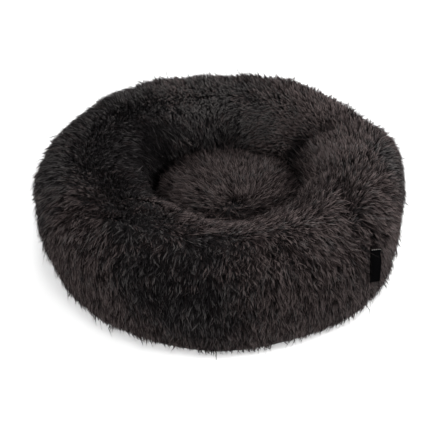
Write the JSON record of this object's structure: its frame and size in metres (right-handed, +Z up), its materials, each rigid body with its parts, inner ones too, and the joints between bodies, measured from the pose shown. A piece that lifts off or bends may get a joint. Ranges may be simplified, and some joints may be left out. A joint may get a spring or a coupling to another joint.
{
  "type": "donut pet bed",
  "caption": "Round plush pet bed with a stuffed ring-shaped rim, a domed sleeping cushion in its well and a zipped base cloth.",
  "frame": {"origin": "middle of the bed's footprint, on the floor that the base cloth lies on", "axes": "+Z up through the well, -Y towards the side seen from the front, +X to the side with the label and along the zip"},
  "size_m": [0.598, 0.5638, 0.1994],
  "materials": {
    "plush": "long pile plush",
    "lining": "non-woven",
    "fibre": "loose fibre",
    "base_cloth": "woven with rubber dots",
    "zip_tape": "woven tape",
    "zip_coil": "nylon",
    "zip_metal": "dark plated",
    "side_label": "woven satin",
    "care_label": "satin"
  },
  "bodies": {
    "bed": {"rim_cover_front": "plush", "rim_cover_back": "plush", "cushion_cover": "plush", "rim_liner": "lining", "rim_filling": "fibre", "cushion_liner": "lining", "cushion_filling": "fibre", "base_panel_front": "base_cloth", "base_panel_back": "base_cloth", "zip_tape_front": "zip_tape", "zip_tape_back": "zip_tape", "zip_coil_front": "zip_coil", "zip_coil_back": "zip_coil", "zip_top_stop_front": "zip_metal", "zip_top_stop_back": "zip_metal", "zip_bottom_stop": "zip_metal", "side_label": "side_label", "care_label": "care_label"},
    "slider": {"zip_slider": "zip_metal"},
    "puller": {"zip_puller": "zip_metal"}
  },
  "joints": [
    {"name": "zip_slide", "type": "slide", "parent": "bed", "child": "slider", "axis": [1, 0, 0], "range_m": [0, 0.356]},
    {"name": "puller_swing", "type": "hinge", "parent": "slider", "child": "puller", "pos_m": [-0.178, 0, 0.0028], "axis": [0, 1, 0], "range_deg": [0, 180]}
  ]
}
